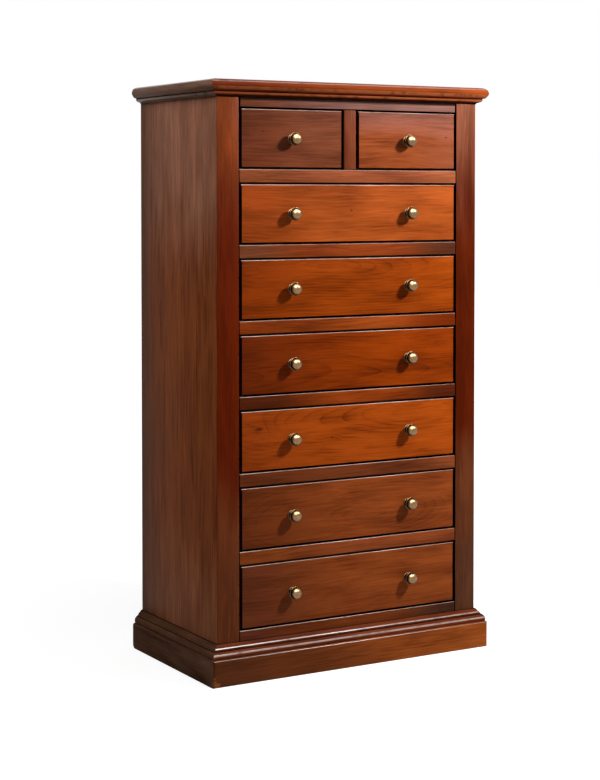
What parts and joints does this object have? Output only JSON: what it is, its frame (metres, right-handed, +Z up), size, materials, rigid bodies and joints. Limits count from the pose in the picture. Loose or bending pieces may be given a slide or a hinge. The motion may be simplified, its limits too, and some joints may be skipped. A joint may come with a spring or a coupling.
{
  "type": "chest of drawers",
  "caption": "Tall wooden chest of drawers: two small drawers side by side over six wide ones, flush fronts with turned knobs, moulded cornice and plinth.",
  "frame": {"origin": "on the floor, under the middle of the whole chest's bounding box, knobs included", "axes": "+Z up, the drawers open towards -Y, +X to the right of someone facing the drawers"},
  "size_m": [0.724, 0.4054, 1.3],
  "materials": {
    "carcass_wood": "red-brown stain under satin lacquer",
    "drawer_front_wood": "cherry-coloured stain under satin lacquer, tone differs from drawer to drawer",
    "drawer_box_wood": "planed pale secondary wood, unlacquered",
    "panel_board": "plain plywood",
    "antique_brass": "antiqued, dark in the grooves, rubbed bright on the dome"
  },
  "bodies": {
    "carcass": {"left_side": "carcass_wood", "right_side": "carcass_wood", "back_panel": "panel_board", "top_board": "carcass_wood", "left_stile": "carcass_wood", "right_stile": "carcass_wood", "centre_muntin": "carcass_wood", "top_frame": "carcass_wood", "drawer_frame_1": "carcass_wood", "drawer_frame_2": "carcass_wood", "drawer_frame_3": "carcass_wood", "drawer_frame_4": "carcass_wood", "drawer_frame_5": "carcass_wood", "drawer_frame_6": "carcass_wood", "bottom_frame": "carcass_wood", "cornice_moulding": "carcass_wood", "plinth_front": "carcass_wood", "plinth_left": "carcass_wood", "plinth_right": "carcass_wood", "plinth_moulding_front": "carcass_wood", "plinth_moulding_left": "carcass_wood", "plinth_moulding_right": "carcass_wood"},
    "drawer_1_left": {"drawer_1_left_front": "drawer_front_wood", "drawer_1_left_box": "drawer_box_wood", "drawer_1_left_bottom": "panel_board", "drawer_1_left_knob": "antique_brass"},
    "drawer_1_right": {"drawer_1_right_front": "drawer_front_wood", "drawer_1_right_box": "drawer_box_wood", "drawer_1_right_bottom": "panel_board", "drawer_1_right_knob": "antique_brass"},
    "drawer_2": {"drawer_2_front": "drawer_front_wood", "drawer_2_box": "drawer_box_wood", "drawer_2_bottom": "panel_board", "drawer_2_knob_left": "antique_brass", "drawer_2_knob_right": "antique_brass"},
    "drawer_3": {"drawer_3_front": "drawer_front_wood", "drawer_3_box": "drawer_box_wood", "drawer_3_bottom": "panel_board", "drawer_3_knob_left": "antique_brass", "drawer_3_knob_right": "antique_brass"},
    "drawer_4": {"drawer_4_front": "drawer_front_wood", "drawer_4_box": "drawer_box_wood", "drawer_4_bottom": "panel_board", "drawer_4_knob_left": "antique_brass", "drawer_4_knob_right": "antique_brass"},
    "drawer_5": {"drawer_5_front": "drawer_front_wood", "drawer_5_box": "drawer_box_wood", "drawer_5_bottom": "panel_board", "drawer_5_knob_left": "antique_brass", "drawer_5_knob_right": "antique_brass"},
    "drawer_6": {"drawer_6_front": "drawer_front_wood", "drawer_6_box": "drawer_box_wood", "drawer_6_bottom": "panel_board", "drawer_6_knob_left": "antique_brass", "drawer_6_knob_right": "antique_brass"},
    "drawer_7": {"drawer_7_front": "drawer_front_wood", "drawer_7_box": "drawer_box_wood", "drawer_7_bottom": "panel_board", "drawer_7_knob_left": "antique_brass", "drawer_7_knob_right": "antique_brass"}
  },
  "joints": [
    {"name": "drawer_1_left_slide", "type": "slide", "parent": "carcass", "child": "drawer_1_left", "axis": [0, -1, 0], "range_m": [0, 0.28]},
    {"name": "drawer_1_right_slide", "type": "slide", "parent": "carcass", "child": "drawer_1_right", "axis": [0, -1, 0], "range_m": [0, 0.28]},
    {"name": "drawer_2_slide", "type": "slide", "parent": "carcass", "child": "drawer_2", "axis": [0, -1, 0], "range_m": [0, 0.28]},
    {"name": "drawer_3_slide", "type": "slide", "parent": "carcass", "child": "drawer_3", "axis": [0, -1, 0], "range_m": [0, 0.28]},
    {"name": "drawer_4_slide", "type": "slide", "parent": "carcass", "child": "drawer_4", "axis": [0, -1, 0], "range_m": [0, 0.28]},
    {"name": "drawer_5_slide", "type": "slide", "parent": "carcass", "child": "drawer_5", "axis": [0, -1, 0], "range_m": [0, 0.28]},
    {"name": "drawer_6_slide", "type": "slide", "parent": "carcass", "child": "drawer_6", "axis": [0, -1, 0], "range_m": [0, 0.28]},
    {"name": "drawer_7_slide", "type": "slide", "parent": "carcass", "child": "drawer_7", "axis": [0, -1, 0], "range_m": [0, 0.28]}
  ]
}
